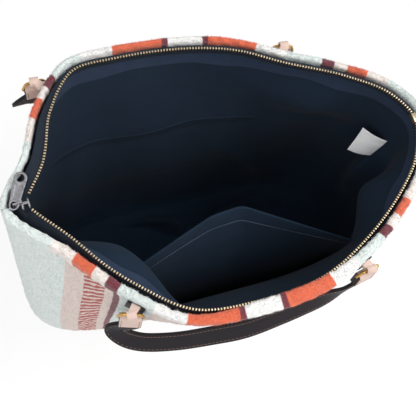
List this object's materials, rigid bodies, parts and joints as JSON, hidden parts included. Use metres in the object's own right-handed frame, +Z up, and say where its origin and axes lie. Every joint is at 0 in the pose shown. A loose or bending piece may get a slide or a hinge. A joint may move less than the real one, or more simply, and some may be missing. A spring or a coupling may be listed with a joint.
{
  "type": "tote bag",
  "caption": "Open-topped cloth tote with a zipped mouth, a lining with a slip pocket, and short strap handles on wire rings.",
  "frame": {"origin": "on the floor, under the middle of the overall box", "axes": "+X along the mouth to the viewer's right, +Y to the back panel, +Z up"},
  "size_m": [0.3898, 0.2816, 0.2959],
  "materials": {
    "wool": "napped wool blanket cloth",
    "navy": "cotton twill",
    "satin": "woven satin",
    "brass": "stamped teeth",
    "nickel": "dulled plate",
    "gold": "polished wire",
    "tan": "smooth hide with painted edges",
    "brown": "suede side"
  },
  "bodies": {
    "bag": {"front_panel": "wool", "back_panel": "wool", "base_panel": "wool", "lining": "navy", "pocket": "navy", "zip_tape_front": "navy", "zip_tape_back": "navy", "label": "satin", "zip_chain_front": "brass", "zip_chain_back": "brass", "zip_end_stop": "brass", "front_left_tab": "tan", "front_right_tab": "tan", "back_left_tab": "tan", "back_right_tab": "tan"},
    "front_handle": {"front_strap": "brown", "front_left_end": "tan", "front_right_end": "tan", "front_left_ring": "gold", "front_right_ring": "gold"},
    "back_handle": {"back_strap": "brown", "back_left_end": "tan", "back_right_end": "tan", "back_left_ring": "gold", "back_right_ring": "gold"},
    "zip_slider": {"zip_slider": "nickel"},
    "zip_pull": {"zip_pull": "nickel"}
  },
  "joints": [
    {"name": "front_handle_swing", "type": "hinge", "parent": "bag", "child": "front_handle", "pos_m": [-0.00494, -0.1099, 0.281], "axis": [-0.9972, 0.0749, 0], "range_deg": [0, 155]},
    {"name": "back_handle_swing", "type": "hinge", "parent": "bag", "child": "back_handle", "pos_m": [-0.02446, 0.10722, 0.281], "axis": [0.9984, -0.0567, 0], "range_deg": [0, 155]},
    {"name": "zip_slide", "type": "slide", "parent": "bag", "child": "zip_slider", "axis": [1, 0, 0], "range_m": [0, 0.34]},
    {"name": "pull_swing", "type": "hinge", "parent": "zip_slider", "child": "zip_pull", "pos_m": [-0.17759, 0.00597, 0.2922], "axis": [0, 0, 1], "range_deg": [0, 225]}
  ]
}
